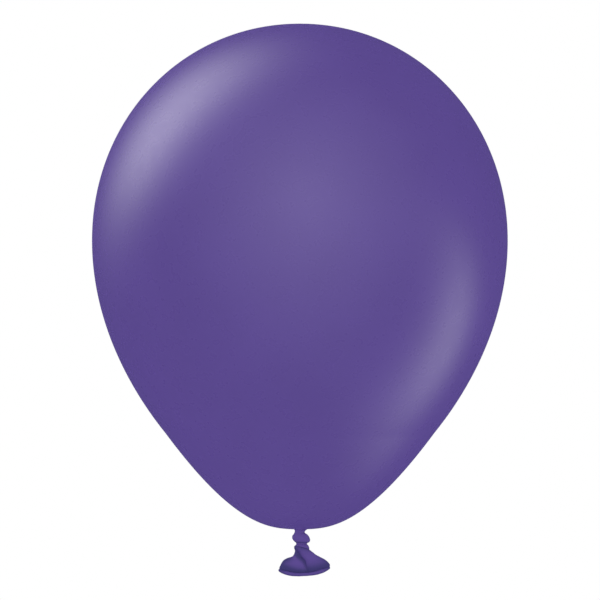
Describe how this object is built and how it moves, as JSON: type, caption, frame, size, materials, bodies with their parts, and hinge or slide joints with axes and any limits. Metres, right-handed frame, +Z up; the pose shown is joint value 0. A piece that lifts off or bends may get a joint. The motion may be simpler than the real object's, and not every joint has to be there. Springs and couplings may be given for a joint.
{
  "type": "latex balloon",
  "caption": "Inflated teardrop-shaped rubber film balloon, tied with an overhand knot, with a gathered neck, a flattened flared tail and a rolled lip.",
  "frame": {"origin": "the middle of the tie groove, on the neck's axis, where the neck is narrowest between the skin and the knot", "axes": "+Z up the balloon from the knot to the crown, +X to the right across the flat of the tail, -Y towards its front"},
  "size_m": [0.3, 0.3, 0.3988],
  "materials": {
    "stretched_film": "purple natural rubber film, blown up, satin and even",
    "gathered_film": "purple natural rubber film, gathered and unstretched, satin, a little deeper in colour",
    "rolled_lip": "purple natural rubber film rolled up into a round bead, satin"
  },
  "bodies": {
    "balloon": {"envelope": "stretched_film"},
    "neck": {"neck_film": "gathered_film"},
    "knot": {"knot_loop": "gathered_film", "knot_core": "gathered_film"},
    "stem": {"tail_stem": "gathered_film"},
    "collar": {"tail_collar": "gathered_film"},
    "tail": {"tail_skirt": "gathered_film", "lip_bead": "rolled_lip"}
  },
  "joints": [
    {"name": "neck_sway", "type": "hinge", "parent": "balloon", "child": "neck", "pos_m": [0, 0, 0], "axis": [0, 1, 0], "range_deg": [-30, 30], "stiffness_Nm_per_rad": 0.004, "deforming": ["neck_film"]},
    {"name": "neck_nod", "type": "hinge", "parent": "neck", "child": "knot", "pos_m": [0, 0, 0], "axis": [1, 0, 0], "range_deg": [-30, 30], "stiffness_Nm_per_rad": 0.004},
    {"name": "tail_sway", "type": "hinge", "parent": "knot", "child": "stem", "pos_m": [0.0013, 0, -0.00867], "axis": [0, 1, 0], "range_deg": [-15, 15], "stiffness_Nm_per_rad": 0.004, "deforming": ["tail_stem"]},
    {"name": "tail_nod", "type": "hinge", "parent": "stem", "child": "collar", "pos_m": [0.0013, 0, -0.00867], "axis": [1, 0, 0], "range_deg": [-15, 15], "stiffness_Nm_per_rad": 0.004},
    {"name": "tail_twist", "type": "hinge", "parent": "collar", "child": "tail", "pos_m": [0.0013, 0, -0.011], "axis": [0, 0, 1], "range_deg": [-45, 45], "stiffness_Nm_per_rad": 0.001}
  ]
}
